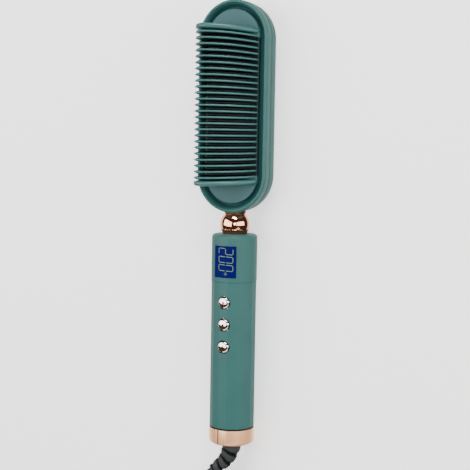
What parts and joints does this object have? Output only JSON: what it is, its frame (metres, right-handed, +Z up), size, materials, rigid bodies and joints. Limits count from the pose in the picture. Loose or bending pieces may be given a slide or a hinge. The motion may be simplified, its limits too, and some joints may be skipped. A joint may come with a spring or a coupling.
{
  "type": "heated hair straightener brush",
  "caption": "Heated hair straightener brush: oval comb head, rose gold ball neck, round fluted green handle with blue display and push buttons, and a swivel lead tied in a hank.",
  "frame": {"origin": "centre of the object's own box, without its lead, on the surface that it lies on", "axes": "+Y along the handle toward the comb head, +Z up out of the comb side, +X to the right seen from the comb side with the head away from the viewer"},
  "size_m": [0.0632, 0.5282, 0.0413],
  "materials": {
    "green_plastic": "satin deep teal green moulded plastic",
    "comb_plastic": "the same green, heat-proof plastic",
    "black_aluminium": "black coated aluminium",
    "ceramic": "fired ceramic",
    "spring_steel": "bare sheet steel",
    "steel": "bright plated steel",
    "rose_gold": "polished rose gold plating",
    "wire_insulation": "silicone wire covering",
    "display_glass": "tinted blue lens",
    "black_plastic": "plain black moulded plastic",
    "circuit_board": "glass fibre board",
    "silver_chrome": "polished plating",
    "brass_contact": "bare contact brass",
    "grey_rubber": "soft dark grey rubber",
    "black_rubber": "black flexible PVC"
  },
  "bodies": {
    "housing": {"head_front_shell": "green_plastic", "head_back_shell": "green_plastic", "comb_guard": "comb_plastic", "heater_comb": "black_aluminium", "ptc_heaters": "ceramic", "heater_clamp": "spring_steel", "thermal_fuse": "ceramic", "head_screws": "steel", "neck_collar": "rose_gold", "neck_ball": "rose_gold", "neck_flare": "rose_gold", "neck_tube": "steel", "heater_leads": "wire_insulation", "handle_collar": "green_plastic", "handle_sleeve": "green_plastic", "display_lens": "display_glass", "display_module": "black_plastic", "inner_tray": "black_plastic", "control_board": "circuit_board", "tact_switches": "black_plastic", "end_ring": "rose_gold", "end_bushing": "black_plastic", "contact_springs": "brass_contact"},
    "power_button": {"power_button": "silver_chrome"},
    "plus_button": {"plus_button": "silver_chrome"},
    "minus_button": {"minus_button": "silver_chrome"},
    "lead": {"swivel_hub": "black_plastic", "slip_rings": "brass_contact", "strain_relief": "grey_rubber", "cord": "black_rubber", "cord_hank": "black_rubber", "cord_tail": "black_rubber", "cord_tie": "black_rubber", "plug_body": "black_rubber", "plug_pins": "steel"}
  },
  "joints": [
    {"name": "power_button_press", "type": "slide", "parent": "housing", "child": "power_button", "axis": [0, 0, -1], "range_m": [0, 0.0008], "stiffness_N_per_m": 900, "springref_m": -0.0004},
    {"name": "plus_button_press", "type": "slide", "parent": "housing", "child": "plus_button", "axis": [0, 0, -1], "range_m": [0, 0.0008], "stiffness_N_per_m": 900, "springref_m": -0.0004},
    {"name": "minus_button_press", "type": "slide", "parent": "housing", "child": "minus_button", "axis": [0, 0, -1], "range_m": [0, 0.0008], "stiffness_N_per_m": 900, "springref_m": -0.0004},
    {"name": "lead_swivel", "type": "hinge", "parent": "housing", "child": "lead", "pos_m": [0, -0.144, 0.0153], "axis": [0, 1, 0], "continuous": true}
  ]
}
